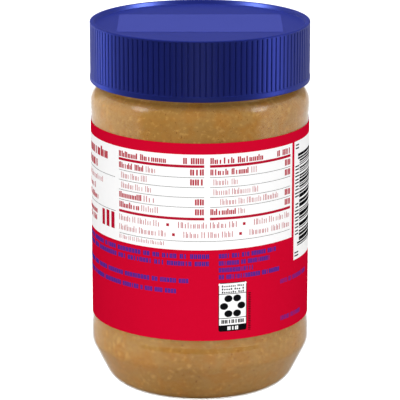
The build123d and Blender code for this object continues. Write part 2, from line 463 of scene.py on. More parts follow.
def moulded_polypropylene(name, base, other, roughness, grain, depth):
    """Coloured polypropylene with a grain of the given size and depth, both in millimetres."""
    made = bpy.data.materials.new(name)
    made.use_nodes = True
    tree = made.node_tree
    place = add(tree, "ShaderNodeTexCoord").outputs["Object"]
    noise = add(tree, "ShaderNodeTexNoise", {"Vector": place, "Scale": 1 / (grain * MM)}).outputs["Fac"]
    flow = add(tree, "ShaderNodeTexNoise", {"Vector": place, "Scale": 1 / (FLOW_CLOUD * MM)}).outputs["Fac"]
    shade = add(tree, "ShaderNodeMix", {0: flow, 6: colour(base), 7: colour(other)}, data_type="RGBA")
    relief = add(tree, "ShaderNodeBump", {"Height": noise, "Strength": 0.5, "Distance": depth * MM})
    shader = tree.nodes["Principled BSDF"]
    tree.links.new(shade.outputs[2], shader.inputs["Base Color"])
    tree.links.new(relief.outputs[0], shader.inputs["Normal"])
    shader.inputs["Roughness"].default_value = roughness
    shader.inputs["IOR"].default_value = 1.49
    shader.inputs["Specular IOR Level"].default_value = 0.1
    shader.inputs["Specular Tint"].default_value = colour("#7d8bff")
    return made


navy_cap = moulded_polypropylene(
    "injection_moulded_polypropylene_blue", "#2a3592", "#2d3896", 0.42, TOOL_GRAIN, TOOL_DEPTH
)
frosted_cap = moulded_polypropylene(
    "spark_frosted_polypropylene_blue", "#444da9", "#4750ac", 0.6, SPARK_GRAIN, SPARK_DEPTH
)
print("cap finishes:", navy_cap.name, "and", frosted_cap.name)

# %% [markdown]
# ## Turning shapes on a lathe
# Everything but the print is round, so each piece is one outline turned about the axis. The first
# function rounds the corners of an outline with true arcs. The second turns an outline into a closed
# mesh: a point on the axis becomes one vertex, any other point becomes a ring. Blender's Screw modifier
# could do it too, but building the rings by hand lets the columns fall exactly where ribs need them.

# %% Outlines and lathe
ARC_STEP = math.radians(5)
TINY = 1e-6


def rounded(corners):
    """Points of an outline whose corners, each (radius, height, blend), are rounded by their blend."""
    points = [tuple(corners[0][:2])]
    for before, corner, after in zip(corners, corners[1:], corners[2:]):
        here = np.array(corner[:2], float)
        into = here - np.array(before[:2])
        out = np.array(after[:2]) - here
        into, out = into / np.hypot(*into), out / np.hypot(*out)
        turn = math.atan2(into[0] * out[1] - into[1] * out[0], into @ out)
        if not corner[2] or not turn:
            points.append(tuple(here))
            continue
        start = here - into * corner[2] * math.tan(abs(turn) / 2)
        toward = np.array((-into[1], into[0])) * math.copysign(1, turn)
        middle = start + toward * corner[2]
        steps = max(2, math.ceil(abs(turn) / ARC_STEP))
        for k in range(steps + 1):
            a = turn * k / steps
            sine, cosine = math.sin(a), math.cos(a)
            x, y = start - middle
            points.append((middle[0] + (x * cosine - y * sine), middle[1] + (x * sine + y * cosine)))
    points.append(tuple(corners[-1][:2]))
    return points[:1] + [p for q, p in zip(points, points[1:]) if math.dist(p, q) > TINY]


def inset(outline, amount):
    """The outline moved by amount to its left, which is inwards on a side drawn upwards."""
    path = np.array(outline, float)
    along = np.gradient(path, axis=0)
    along /= np.hypot(*along.T)[:, None]
    moved = path + amount * np.stack([-along[:, 1], along[:, 0]], 1)
    moved[np.isclose(path[:, 0], 0), 0] = 0
    return [tuple(p) for p in moved]


def lathe(name, outline, angles, material, closed=False, crease=30):
    """The outline turned about the axis, with one column of faces between neighbouring angles."""
    count, points, rings = len(angles), [], []
    for radius, height in outline:
        if radius < TINY:
            rings.append([len(points)] * count)
            points.append((0, 0, height))
        else:
            rings.append(list(range(len(points), len(points) + count)))
            points += [(radius * math.cos(a), radius * math.sin(a), height) for a in angles]
    faces = []
    for low, high in zip(rings, rings[1:] + (rings[:1] if closed else [])):
        for j in range(count):
            k = (j + 1) % count
            corners = [low[j], low[k], high[k], high[j]]
            faces.append(tuple(dict.fromkeys(corners)))
    return piece(name, points, faces, material, crease)


def even_angles(count):
    """That many angles, evenly spaced round the axis."""
    return [2 * math.pi * k / count for k in range(count)]


# %% [markdown]
# ## The jar
# A wide-mouth bottle is blown inside a mould in two halves. Its outline, from the middle of the base:
# a push-up that stiffens the bottom, the flat ring it stands on, a rounded heel, a cone that widens to
# a bead, a step back to the panel that the label is wrapped round, then a shoulder and the neck. The
# wall is one thickness, so the inside is the same outline moved in, and both join at the mouth.

# %% Jar outline
WALL = 0.8
PUSH_UP, FOOT_WIDTH, HEEL_BLEND = 3.0, 2.4, 7.5
DOME_STEPS = 12
CONE_LEAN, CONE_HEIGHT, BEAD_BLEND, BEAD_HEIGHT = math.radians(26.7), 14.4, 6.0, 5.2
STEP_HEIGHT, STEP_BLEND, LABEL_MARGIN = 2.2, 8.0, 2.7
FILM, GLUE = 0.12, 0.03
SHOULDER_RISE, SHOULDER_BAND, SHOULDER_LEAN = 0.25, 1.4, math.radians(62)
NECK_INSET, NECK_BLEND = 4.0, 1.0

panel_radius = LABEL_RADIUS - FILM - GLUE
shoulder_radius = panel_radius + SHOULDER_RISE
neck_radius = shoulder_radius - NECK_INSET
heel_corner = BEAD_RADIUS - CONE_HEIGHT * math.tan(CONE_LEAN)
foot_outer = heel_corner - HEEL_BLEND * math.tan((math.pi / 2 - CONE_LEAN) / 2)
foot_inner = foot_outer - FOOT_WIDTH
bead_top = CONE_HEIGHT + BEAD_HEIGHT
panel_bottom = label_low.z - LABEL_MARGIN
panel_top = label_high.z + LABEL_MARGIN
shoulder_blend = NECK_INSET / (1 - math.cos(SHOULDER_LEAN)) - NECK_BLEND
curve_bottom = panel_top + STEP_HEIGHT + SHOULDER_BAND
shoulder_corner = curve_bottom + shoulder_blend * math.tan(SHOULDER_LEAN / 2)
neck_corner = shoulder_corner + NECK_INSET / math.tan(SHOULDER_LEAN)


def push_up():
    """The shallow dome under the jar, from its middle out to the ring."""
    dome = (foot_inner**2 + PUSH_UP**2) / (2 * PUSH_UP)
    spans = [foot_inner * k / DOME_STEPS for k in range(DOME_STEPS)]
    return [(r, PUSH_UP - dome + math.sqrt(dome**2 - r**2)) for r in spans]


def jar_side(top):
    """The jar's outside from the ring it stands on up to the height top."""
    return rounded(
        [
            (foot_inner, 0, 0),
            (heel_corner, 0, HEEL_BLEND),
            (BEAD_RADIUS, CONE_HEIGHT, BEAD_BLEND),
            (BEAD_RADIUS, bead_top, STEP_BLEND),
            (panel_radius, panel_bottom, STEP_BLEND),
            (panel_radius, panel_top, STEP_BLEND),
            (shoulder_radius, panel_top + STEP_HEIGHT, STEP_BLEND),
            (shoulder_radius, shoulder_corner, shoulder_blend),
            (neck_radius, neck_corner, NECK_BLEND),
            (neck_radius, top, 0),
        ]
    )


# %% [markdown]
# The outside and the inside are one closed outline, so the lathe makes a real wall with a rim. As
# many columns as this keep the silhouette round.

# %% Jar
JAR_COLUMNS = 256

ROUND = even_angles(JAR_COLUMNS)
outside = push_up() + jar_side(MOUTH)
inside = inset(outside, WALL)
jar_shell = lathe("jar_shell", outside + inside[::-1], ROUND, clear_pet)
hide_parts("jar")
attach(jar_shell, "root")
print("jar faces:", len(jar_shell.data.polygons))

# %% [markdown]
# ## The peanut butter
# The food fills the jar up into the neck. If its surface stopped exactly at the inside of the wall, a
# thin line of air would show, so it reaches part of the way into the plastic instead.

# %% Peanut butter
REACH = 0.4

filled = inset(push_up() + jar_side(fill_high.z), REACH)
food = lathe("peanut_butter_fill", filled + [(0, fill_high.z)], ROUND, nut_paste)
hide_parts("peanut_butter")
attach(food, "root")
print("food faces:", len(food.data.polygons))

# %% [markdown]
# ## Geometry Nodes
# A tree of geometry nodes is a recipe that runs on a mesh. Each recipe below has named inputs for its
# sizes. This helper runs one on an object and keeps the result as a plain mesh, so that nothing is
# left to compute later.

# %% Running a tree


def new_tree(name, inputs):
    """An empty geometry tree with a geometry in and out, and the named inputs."""
    tree = bpy.data.node_groups.new(name, "GeometryNodeTree")
    tree.interface.new_socket("Geometry", in_out="INPUT", socket_type="NodeSocketGeometry")
    tree.interface.new_socket("Geometry", in_out="OUTPUT", socket_type="NodeSocketGeometry")
    for label, kind in inputs.items():
        tree.interface.new_socket(label, in_out="INPUT", socket_type=kind)
    return tree, add(tree, "NodeGroupInput").outputs, add(tree, "NodeGroupOutput")


def bake_tree(target, tree, values, crease=30):
    """Runs the tree on the object with these input values and keeps what it makes as the object's mesh."""
    modifier = target.modifiers.new(tree.name, "NODES")
    modifier.node_group = tree
    for item in tree.interface.items_tree:
        if item.in_out == "INPUT" and item.name in values:
            modifier[item.identifier] = values[item.name]
    result = bpy.data.meshes.new_from_object(target.evaluated_get(bpy.context.evaluated_depsgraph_get()))
    target.modifiers.clear()
    target.data = result
    result.name = target.name
    result.shade_smooth()
    result.set_sharp_from_angle(angle=math.radians(crease))
    return target


# %% [markdown]
# ## The cap
# The cap has a plain band at its foot, a hundred and twenty upright ribs to grip, a rounded rim and a
# sunk panel. Its grooves are a little narrower than the working solid's, its rim's roundings smaller,
# and its skirt hangs a little lower. The outline gets extra levels where the grooves end.

# %% Cap outline
RIB_COUNT, GROOVE_WIDTH, GROOVE_DEPTH, RIB_CROWN = 120, 0.42, 0.28, 0.07
BAND_HEIGHT, BAND_RISE, BAND_BLEND, LEAD_IN = 1.9, 0.13, 0.5, 0.8
GROOVE_END, GROOVE_TOP_LAND, END_STEPS = 0.45, 0.1, 4
RIM_WIDTH, RIM_SLOPE, RIM_OUTER_BLEND, RIM_INNER_BLEND = 1.25, 0.9, 0.45, 0.3
PANEL_THICKNESS, PANEL_BLEND, CAP_WALL = 1.4, 0.8, 2.42
SKIRT_DROP = 0.3

rib_radius = BAND_RADIUS - BAND_RISE
bore_radius = rib_radius - CAP_WALL
skirt_end = cap_low.z - SKIRT_DROP
ribs_bottom = skirt_end + BAND_HEIGHT
ribs_top = cap_high.z - RIM_OUTER_BLEND - GROOVE_TOP_LAND
cap_panel = MOUTH + PANEL_THICKNESS
panel_edge = rib_radius - RIM_WIDTH - RIM_SLOPE

skirt_inside = [(0, MOUTH, 0), (bore_radius, MOUTH, 0), (bore_radius, skirt_end + LEAD_IN, 0)]
skirt_foot = [
    (bore_radius + LEAD_IN, skirt_end, 0),
    (BAND_RADIUS, skirt_end, BAND_BLEND),
    (BAND_RADIUS, ribs_bottom - BAND_RISE, 0),
    (rib_radius, ribs_bottom, 0),
]
groove_levels = [
    (rib_radius, level + GROOVE_END * k / END_STEPS, 0)
    for level in (ribs_bottom, ribs_top - GROOVE_END)
    for k in range(1, END_STEPS + 1)
]
rim = [
    (rib_radius, cap_high.z, RIM_OUTER_BLEND),
    (rib_radius - RIM_WIDTH, cap_high.z, RIM_INNER_BLEND),
    (panel_edge, cap_panel, PANEL_BLEND),
    (0, cap_panel, 0),
]
cap_outline = rounded(skirt_inside + skirt_foot + groove_levels + rim)
print(f"cap outline: {len(cap_outline)} points, skirt from {skirt_end:.2f} mm up")

# %% [markdown]
# The ribs are what a smooth skirt leaves standing between narrow grooves. This tree measures how far
# round each vertex is from the middle of the nearest groove, and how far up it is from the grooves'
# ends. The product of the two says how deep it is pushed in, with a smooth step over every edge. A
# slight bow across each rib softens its highlight. One tree of fields replaces over a hundred cuts.

# %% Groove tree
tree, given, result = new_tree(
    "cut_grooves",
    {
        "Count": "NodeSocketInt",
        "Crest Radius": "NodeSocketFloat",
        "Half Width": "NodeSocketFloat",
        "Edge": "NodeSocketFloat",
        "Depth": "NodeSocketFloat",
        "Crown": "NodeSocketFloat",
        "Bottom": "NodeSocketFloat",
        "Top": "NodeSocketFloat",
        "End": "NodeSocketFloat",
        "Plastic": "NodeSocketMaterial",
    },
)
place = add(tree, "GeometryNodeInputPosition").outputs[0]
axes = add(tree, "ShaderNodeSeparateXYZ", {0: place}).outputs
angle = add(tree, "ShaderNodeMath", {0: axes["Y"], 1: axes["X"]}, operation="ARCTAN2").outputs[0]
share = add(tree, "ShaderNodeMath", {0: angle, 1: 2 * math.pi}, operation="DIVIDE").outputs[0]
cell = add(tree, "ShaderNodeMath", {0: share, 1: given["Count"]}, operation="MULTIPLY").outputs[0]
nearest = add(tree, "ShaderNodeMath", {0: cell}, operation="ROUND").outputs[0]
off = add(tree, "ShaderNodeMath", {0: cell, 1: nearest}, operation="SUBTRACT").outputs[0]
away = add(tree, "ShaderNodeMath", {0: off}, operation="ABSOLUTE").outputs[0]
round_length = add(
    tree, "ShaderNodeMath", {0: given["Crest Radius"], 1: 2 * math.pi}, operation="MULTIPLY"
).outputs[0]
pitch = add(tree, "ShaderNodeMath", {0: round_length, 1: given["Count"]}, operation="DIVIDE").outputs[0]
distance = add(tree, "ShaderNodeMath", {0: away, 1: pitch}, operation="MULTIPLY").outputs[0]
outer = add(tree, "ShaderNodeMath", {0: given["Half Width"], 1: given["Edge"]}, operation="ADD").outputs[0]
inner = add(
    tree, "ShaderNodeMath", {0: given["Half Width"], 1: given["Edge"]}, operation="SUBTRACT"
).outputs[0]
across = add(
    tree, "ShaderNodeMapRange", {0: distance, 1: outer, 2: inner}, interpolation_type="SMOOTHSTEP"
).outputs[0]
above = add(tree, "ShaderNodeMath", {0: given["Bottom"], 1: given["End"]}, operation="ADD").outputs[0]
below = add(tree, "ShaderNodeMath", {0: given["Top"], 1: given["End"]}, operation="SUBTRACT").outputs[0]
foot = add(
    tree, "ShaderNodeMapRange", {0: axes["Z"], 1: given["Bottom"], 2: above}, interpolation_type="SMOOTHSTEP"
).outputs[0]
head = add(
    tree, "ShaderNodeMapRange", {0: axes["Z"], 1: given["Top"], 2: below}, interpolation_type="SMOOTHSTEP"
).outputs[0]
flat_place = add(tree, "ShaderNodeCombineXYZ", {0: axes["X"], 1: axes["Y"]}).outputs[0]
radius = add(tree, "ShaderNodeVectorMath", {0: flat_place}, operation="LENGTH").outputs["Value"]
skin = add(
    tree, "ShaderNodeMath", {0: given["Crest Radius"], 1: given["Depth"]}, operation="SUBTRACT"
).outputs[0]
is_skin = add(tree, "ShaderNodeMath", {0: radius, 1: skin}, operation="GREATER_THAN").outputs[0]
ends = add(tree, "ShaderNodeMath", {0: foot, 1: head}, operation="MULTIPLY").outputs[0]
off_crest = add(tree, "ShaderNodeMath", {0: away, 1: -2.0, 2: 1.0}, operation="MULTIPLY_ADD").outputs[0]
bowed = add(tree, "ShaderNodeMath", {0: off_crest, 1: 2.0}, operation="POWER").outputs[0]
crown = add(tree, "ShaderNodeMath", {0: bowed, 1: given["Crown"]}, operation="MULTIPLY").outputs[0]
cut = add(
    tree, "ShaderNodeMath", {0: across, 1: given["Depth"], 2: crown}, operation="MULTIPLY_ADD"
).outputs[0]
shape = add(tree, "ShaderNodeMath", {0: cut, 1: ends}, operation="MULTIPLY").outputs[0]
deep = add(tree, "ShaderNodeMath", {0: shape, 1: is_skin}, operation="MULTIPLY").outputs[0]
inward = add(tree, "ShaderNodeMath", {0: deep, 1: -1.0}, operation="MULTIPLY").outputs[0]
spoke = add(tree, "ShaderNodeVectorMath", {0: flat_place}, operation="NORMALIZE").outputs[0]
push = add(tree, "ShaderNodeVectorMath", {0: spoke, "Scale": inward}, operation="SCALE").outputs[0]
moved = add(tree, "GeometryNodeSetPosition", {"Geometry": given["Geometry"], "Offset": push}).outputs[0]
whole = add(tree, "GeometryNodeRealizeInstances", {0: moved}).outputs[0]
painted = add(tree, "GeometryNodeSetMaterial", {"Geometry": whole, "Material": given["Plastic"]}).outputs[0]
tree.links.new(painted, result.inputs[0])
groove_tree = tree
print("groove tree nodes:", len(tree.nodes))

# %% [markdown]
# The skirt gets ten columns of faces for each rib, closest where the sides of a groove turn. The tree
# runs on the turned cap, and its result is kept as a plain mesh.

# %% Cap
GROOVE_EDGE, RIB_FLANK = 0.09, 0.36

half_groove = GROOVE_WIDTH / 2
rib_pitch = 2 * math.pi * rib_radius / RIB_COUNT
column_spots = [0] + [half_groove + step for step in (-GROOVE_EDGE, 0, GROOVE_EDGE, RIB_FLANK)]
one_rib = sorted({round(s * v, 6) for v in column_spots for s in (-1, 1)}) + [rib_pitch / 2]
cap_angles = [(k * rib_pitch + spot) / rib_radius for k in range(RIB_COUNT) for spot in one_rib]

screw_cap = lathe("screw_cap", cap_outline, cap_angles, navy_cap)
bake_tree(
    screw_cap,
    groove_tree,
    {
        "Count": RIB_COUNT,
        "Crest Radius": rib_radius * MM,
        "Half Width": half_groove * MM,
        "Edge": GROOVE_EDGE * MM,
        "Depth": GROOVE_DEPTH * MM,
        "Crown": RIB_CROWN * MM,
        "Bottom": ribs_bottom * MM,
        "Top": ribs_top * MM,
        "End": GROOVE_END * MM,
        "Plastic": navy_cap,
    },
)
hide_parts("cap")
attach(screw_cap, "root")
print("cap faces:", len(screw_cap.data.polygons))

# %% [markdown]
# The frosted field is a low step on the panel. It stays bare: a maker's mark would stand there.

# %% Frosted field
FIELD_WIDTH, FIELD_DEPTH, FIELD_CORNER, FIELD_RISE = 55.8, 30.8, 1.0, 0.06
FIELD_CENTRE = 1.2  # how far behind the axis its middle lies


def rounded_rectangle(width, height, corner, steps=6):
    """Points round a rectangle with rounded corners, centred on the origin, anticlockwise."""
    points = []
    for quarter, (sx, sy) in enumerate(((1, 1), (-1, 1), (-1, -1), (1, -1))):
        for k in range(steps + 1):
            a = math.pi / 2 * (quarter + k / steps)
            x = sx * (width / 2 - corner) + corner * math.cos(a)
            y = sy * (height / 2 - corner) + corner * math.sin(a)
            points.append((x, y))
    return points


edge_points = rounded_rectangle(FIELD_WIDTH, FIELD_DEPTH, FIELD_CORNER)
count = len(edge_points)
low_level, high_level = cap_panel - FIELD_RISE, cap_panel + FIELD_RISE
points = [(x, y + FIELD_CENTRE, level) for level in (low_level, high_level) for x, y in edge_points]
faces = [tuple(range(count))[::-1], tuple(range(count, 2 * count))]
faces += [(k, (k + 1) % count, (k + 1) % count + count, k + count) for k in range(count)]
frosted_field = piece("cap_frosted_field", points, faces, frosted_cap)
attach(frosted_field, "root")
print("frosted field faces:", len(frosted_field.data.polygons))

# %% [markdown]
# ## The label
# The film is wrapped round the panel and its ends are glued over each other. It is one thin closed
# sleeve here, and a strip at the back is the lap of the glued ends.

# %% Film
FILM_COLUMNS = 360

film_outline = [
    (LABEL_RADIUS - FILM, label_low.z),
    (LABEL_RADIUS, label_low.z),
    (LABEL_RADIUS, label_high.z),
    (LABEL_RADIUS - FILM, label_high.z),
]
film = lathe("label_film", film_outline, even_angles(FILM_COLUMNS), red_film, closed=True)
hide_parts("label")
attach(film, "root")
print("film faces:", len(film.data.polygons))

# %% [markdown]
# ## The print
# The artwork is drawn flat, as a printer would: across is the distance round the jar from the middle
# of the back panel, up is the height above the table. Fields and rules are thin slabs, cut into narrow
# columns so that they can bend. A line of type becomes a row of small upright strokes, in pairs as
# letters have them, which gives its grey without spelling anything. The marks are only points that
# carry a size. Later a geometry tree stands a block on each point and rolls the sheet round the jar.

# %% Flat artwork
INK_SUNK = 0.02
FIRST_INK, SECOND_INK = 0.03, 0.05
COLUMN, CURVE_COLUMNS = 0.8, 16
WORD_GAP, LETTER_SHARE = 0.7, 0.82
NARROW_SHARE, TALL_SHARE, SHORTEST = 0.2, 0.2, 0.93
random.seed(7)


class Artwork:
    """One ink's flat drawing: slabs with faces, and points that stand for marks."""

    def __init__(self, lift):
        self.lift = lift
        self.points, self.faces, self.sizes = [], [], []

    def shape(self, left, right, low, high):
        """A slab between two curves, each a height or a function of the distance across. A curved slab
        has its columns closer towards its ends, where an oval turns fastest."""
        low_at = low if callable(low) else lambda x: low
        high_at = high if callable(high) else lambda x: high
        curved = callable(low) or callable(high)
        steps = math.ceil((right - left) / COLUMN)
        steps = max(CURVE_COLUMNS, 2 * steps) if curved else steps
        start = len(self.points)
        for k in range(steps + 1):
            share = (1 - math.cos(math.pi * k / steps)) / 2 if curved else k / steps
            x = left + (right - left) * share
            self.points += [(x, -INK_SUNK, low_at(x)), (x, self.lift, low_at(x))]
            self.points += [(x, self.lift, high_at(x)), (x, -INK_SUNK, high_at(x))]
        self.sizes += [(0, 0, 0)] * (4 * (steps + 1))
        for k in range(steps):
            a, b = start + 4 * k, start + 4 * k + 4
            self.faces += [(a + i, b + i, b + (i + 1) % 4, a + (i + 1) % 4) for i in range(4)]
        last = start + 4 * steps
        self.faces += [(start, start + 1, start + 2, start + 3), (last + 3, last + 2, last + 1, last)]

    def mark(self, x, z, width, height):
        """One small upright block, kept as a point with a size."""
        self.points.append((x, (self.lift - INK_SUNK) / 2, z))
        self.sizes.append((width * MM, (self.lift + INK_SUNK) * MM, height * MM))

    def line(self, left, right, base, words, body, weight, rise=0.4, strokes=2):
        """A line of type as marks. Words says how many are in each word, body is the height of small ones,
        weight is the share that is inked, and rise is how much further the tall ones stand up."""
        advance = (right - left) / (sum(words) + WORD_GAP * (len(words) - 1))
        thick = advance * weight / strokes
        x = left + advance / 2
        for count in words:
            for letter in range(count):
                narrow = letter and random.random() < NARROW_SHARE
                spots = [0.0] if narrow or strokes == 1 else [-1.0, 1.0]
                for spot in spots:
                    tall = rise if letter == 0 or random.random() < TALL_SHARE else 0
                    height = body * (1 + tall) * random.uniform(SHORTEST, 1.0)
                    across = x + spot * (LETTER_SHARE * advance - thick) / 2
                    self.mark(across, base + height / 2, thick, height)
                x += advance
            x += advance * WORD_GAP


white = Artwork(FIRST_INK)
crimson = Artwork(SECOND_INK)
blue = Artwork(FIRST_INK)
black = Artwork(SECOND_INK)
tan_field = Artwork(FIRST_INK)
print(f"inks stand {FIRST_INK} and {SECOND_INK} mm proud of the film")

# %% [markdown]
# The back panel is a white field that holds a table in two columns, with a narrow column of headings
# to its left. Thick rules open and close the table, thin rules part its rows.

# %% Table
PANEL_TOP = label_high.z - 3.75
PANEL_BOTTOM = PANEL_TOP - 32.75
PANEL_LEFT, PANEL_RIGHT = -62.0, 36.4
ROW, THICK_RULE, THIN_RULE = 3.4, 0.9, 0.13
HEAD_RULE, FOOT_RULE = PANEL_TOP - 4.0, PANEL_TOP - 21.95
COLUMNS = ((-30.3, 1.4), (3.3, 35.3))
TITLE_RISE, TITLE_WIDTH, UNIT_WIDTH = 0.8, 19.0, 7.1
ROW_START, ROW_DROP, FIGURE = 0.4, 2.65, 1.6
BOLD, LIGHT, X_HEIGHT, CAP_HEIGHT = 0.70, 0.34, 1.5, 2.1

white.shape(PANEL_LEFT, PANEL_RIGHT, PANEL_BOTTOM, PANEL_TOP)
for left, right in COLUMNS:
    crimson.line(left, left + TITLE_WIDTH, HEAD_RULE + TITLE_RISE, (6, 7), X_HEIGHT, BOLD)
    crimson.line(right - UNIT_WIDTH, right, HEAD_RULE + TITLE_RISE, (1, 3), CAP_HEIGHT, BOLD, 0)
    for level in (HEAD_RULE, FOOT_RULE):
        crimson.shape(left, right, level - THICK_RULE / 2, level + THICK_RULE / 2)
    for row in range(1, 5):
        level = HEAD_RULE - ROW_START - ROW * row
        black.shape(left, right, level - THIN_RULE / 2, level + THIN_RULE / 2)

# Each row of a column: the bold words, the light words, each as (left, right, marks), and the last figure.
ROWS = (
    (
        ((-30.3, -19.6, (5, 3)), (-18.8, -15.2, (3,)), 3),
        (None, (-29.2, -18.4, (3, 3, 2)), 3),
        (None, (-29.2, -16.8, (5, 3, 2)), 0),
        ((-30.3, -20.4, (7,)), (-19.7, -15.2, (3,)), 2),
        ((-30.3, -21.3, (6,)), (-20.6, -14.3, (5,)), 2),
    ),
    (
        ((3.3, 16.7, (5, 5)), (17.6, 20.1, (2,)), 2),
        (None, (4.4, 12.7, (5, 2)), 2),
        (None, (4.4, 20.3, (5, 6, 2)), 0),
        (None, (6.7, 28.9, (5, 2, 5, 6)), 2),
        ((3.3, 12.2, (7,)), (12.9, 15.3, (2,)), 2),
    ),
)
for column, rows in zip(COLUMNS, ROWS):
    right = column[1]
    for row, (bold, light, figures) in enumerate(rows):
        base = HEAD_RULE - ROW_START - ROW * row - ROW_DROP
        if bold:
            crimson.line(*bold[:2], base, bold[2], X_HEIGHT, BOLD)
        crimson.line(*light[:2], base, light[2], X_HEIGHT, LIGHT)
        if figures:
            crimson.line(right - FIGURE * figures, right, base, (figures,), CAP_HEIGHT, BOLD, 0)
print("table:", sum(map(len, ROWS)), "rows, crimson points", len(crimson.points))

# %% [markdown]
# Two lines stand under the table, each in three groups with dots between them, and a thin rule
# with a smaller note below it.

# %% Lines under the table
LOWER_LINES = (  # the line's level, its groups of words, and where its dots stand
    (
        PANEL_TOP - 25.2,
        ((-30.3, -13.5, (4, 1, 4, 2)), (-7.4, 12.5, (7, 4, 2)), (18.7, 34.8, (4, 5, 2))),
        (-10.9, 15.1),
    ),
    (
        PANEL_TOP - 28.5,
        ((-30.3, -11.6, (6, 5, 2)), (-5.6, 11.1, (4, 1, 3, 3)), (17.0, 34.8, (6, 3, 3))),
        (-8.9, 13.8),
    ),
)
NOTE_RULE, NOTE_RIGHT, NOTE_RISE, NOTE_HEIGHT = PANEL_TOP - 29.7, -12.2, 1.2, 1.05
DOT, DOT_RISE = 0.95, 0.9

for base, groups, dots in LOWER_LINES:
    for left, right, words in groups:
        crimson.line(left, right, base, words, X_HEIGHT, LIGHT)
    for spot in dots:
        crimson.mark(spot, base + DOT_RISE, DOT, DOT)
black.shape(COLUMNS[0][0], COLUMNS[1][1], NOTE_RULE - THIN_RULE / 2, NOTE_RULE + THIN_RULE / 2)
note_base = PANEL_BOTTOM + NOTE_RISE
crimson.line(COLUMNS[0][0], NOTE_RIGHT, note_base, (1, 2, 1, 1, 5, 5), NOTE_HEIGHT, LIGHT)
print("crimson points:", len(crimson.points))

# %% [markdown]
# The column beside the table has two large headings, some smaller lines, and three big strokes where
# a number would stand.

# %% Headings beside the table
HEAD_LEFT, HEAD_RIGHT = -60.0, -32.2
BIG_WIDTH, BIG_HEIGHT, BIG_WEIGHT = 8.8, 5.8, 0.62

for right, base, words, body, weight in (
    (-36.2, PANEL_TOP - 5.4, (9,), 2.7, 0.76),
    (-43.4, PANEL_TOP - 9.7, (6,), 2.6, 0.76),
    (-39.3, PANEL_TOP - 14.2, (5, 8), X_HEIGHT, LIGHT),
    (-46.0, PANEL_TOP - 17.7, (7,), X_HEIGHT, BOLD),
    (-43.3, PANEL_TOP - 21.1, (3, 6), X_HEIGHT, BOLD),
    (-44.6, PANEL_TOP - 26.3, (8,), X_HEIGHT, BOLD),
    (-45.2, PANEL_TOP - 28.9, (3, 5), X_HEIGHT, BOLD),
):
    crimson.line(HEAD_LEFT, right, base, words, body, weight)
for level in (PANEL_TOP - 10.8, PANEL_TOP - 22.6):
    black.shape(HEAD_LEFT, HEAD_RIGHT, level - THIN_RULE / 2, level + THIN_RULE / 2)
big_left, big_base = HEAD_RIGHT - BIG_WIDTH, PANEL_TOP - 28.9
crimson.line(big_left, HEAD_RIGHT, big_base, (3,), BIG_HEIGHT, BIG_WEIGHT, 0, 1)
print("crimson points:", len(crimson.points), "black slab points:", len(black.points))

# %% [markdown]
# To the right of a narrow gap stands a taller white strip with a stack of bars of uneven thickness,
# turned on its side as on the back of most groceries. The bars are random, so they code nothing.

# %% Bar strip
STRIP_LEFT, STRIP_RIGHT, STRIP_BOTTOM = 37.85, 66.0, 47.6
BARS_LEFT, BARS_RIGHT, BARS_TOP, BARS_BOTTOM = 41.7, 62.5, 84.4, 52.1
BAR_COUNT, LONG_BARS, BAR_EXTRA = 30, (0, 1, 28, 29), 1.3
BAR_AND_GAP_WIDTHS = ((1, 2, 2, 3, 4), (1, 1, 2))
DIGIT_X, DIGIT_PITCH, DIGIT_STROKE, DIGIT_GAP = 39.9, 2.35, 0.46, 1.1
DIGIT_HALF_WIDTHS = (1.0, 1.45)
DIGIT_GROUPS = ((88.2, 1), (80.8, 5), (67.6, 5), (50.6, 1))

white.shape(STRIP_LEFT, STRIP_RIGHT, STRIP_BOTTOM, PANEL_TOP)
widths = [random.choice(BAR_AND_GAP_WIDTHS[k % 2]) for k in range(2 * BAR_COUNT - 1)]
module = (BARS_TOP - BARS_BOTTOM) / sum(widths)
level = BARS_TOP
for k, width in enumerate(widths):
    if k % 2 == 0:
        longer = BAR_EXTRA if k // 2 in LONG_BARS else 0
        black.shape(BARS_LEFT - longer, BARS_RIGHT, level - width * module, level)
    level -= width * module
for top, count in DIGIT_GROUPS:
    for k in range(count):
        for side in (-0.5, 0.5):
            level = top - DIGIT_PITCH * (k + 0.5) + DIGIT_GAP * side
            half = random.uniform(*DIGIT_HALF_WIDTHS)
            black.shape(DIGIT_X - half, DIGIT_X + half, level - DIGIT_STROKE / 2, level + DIGIT_STROKE / 2)
print("bars:", BAR_COUNT)

# %% [markdown]
# Below the panel, small type is printed in blue straight on the red. A white patch with a ring of
# plain pebbles stands beside it, with a black foot.

# %% Small type and patch
SMALL_CAP, SMALL, FAINT = 1.65, 0.72, 0.45
for left, right, base, words, weight in (
    (-57.4, 3.1, 53.2, (7, 6, 5, 8, 2, 2, 4, 2, 5), SMALL),
    (-56.8, 3.0, 50.7, (7, 3, 9, 3, 8, 3, 7, 4), SMALL),
    (-57.3, -3.8, 44.7, (8, 3, 5, 7, 9, 2, 5, 3), SMALL),
    (-57.2, -8.0, 41.0, (9, 8, 9, 7, 1, 3, 3, 4), SMALL),
    (6.2, 28.1, 53.2, (4, 3, 3, 6, 4), SMALL),
    (6.2, 25.4, 50.7, (8, 2, 10), SMALL),
    (6.2, 18.7, 48.3, (13,), SMALL),
    (6.2, 29.7, 45.9, (2, 13, 8), SMALL),
    (30.3, 48.1, 41.1, (4, 2, 7, 4), FAINT),
    (30.6, 43.1, 28.0, (5, 7), FAINT),
):
    blue.line(left, right, base, words, SMALL_CAP, weight, 0)

PATCH_LEFT, PATCH_RIGHT, PATCH_BOTTOM, PATCH_TOP = 6.2, 16.1, 27.6, 44.6
PATCH_CORNER, FRAME_LINE, CORNER_CLEAR = 0.7, 0.22, 0.75
FOOT_HEIGHT, SIDE_LETTERS, SIDE_PITCH, SIDE_STROKE = 2.2, 22, 0.61, 0.28
patch_centre = (PATCH_LEFT + PATCH_RIGHT) / 2


